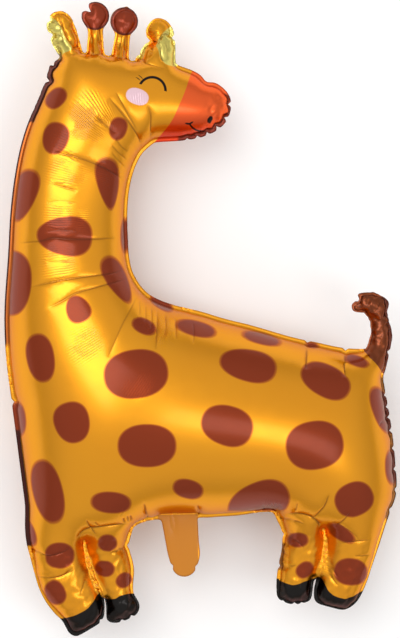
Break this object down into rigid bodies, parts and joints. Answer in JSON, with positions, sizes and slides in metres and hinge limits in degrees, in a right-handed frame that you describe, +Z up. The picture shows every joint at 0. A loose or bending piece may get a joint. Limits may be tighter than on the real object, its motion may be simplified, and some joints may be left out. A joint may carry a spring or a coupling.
{
  "type": "giraffe foil balloon",
  "caption": "Inflated giraffe-shaped foil balloon with spots, welded all round, with a flat filling tab under the belly.",
  "frame": {"origin": "under the middle of the outline, on the surface that the balloon lies on", "axes": "+Y from the hooves to the horns, +X from the chest to the tail, +Z up out of the front sheet"},
  "size_m": [0.6238, 0.994, 0.2574],
  "materials": {
    "printed_foil": "metallised film, shiny, printed gold with red-brown spots, black hooves and a brown tail"
  },
  "bodies": {
    "root": {"foil_envelope": "printed_foil"}
  },
  "joints": []
}
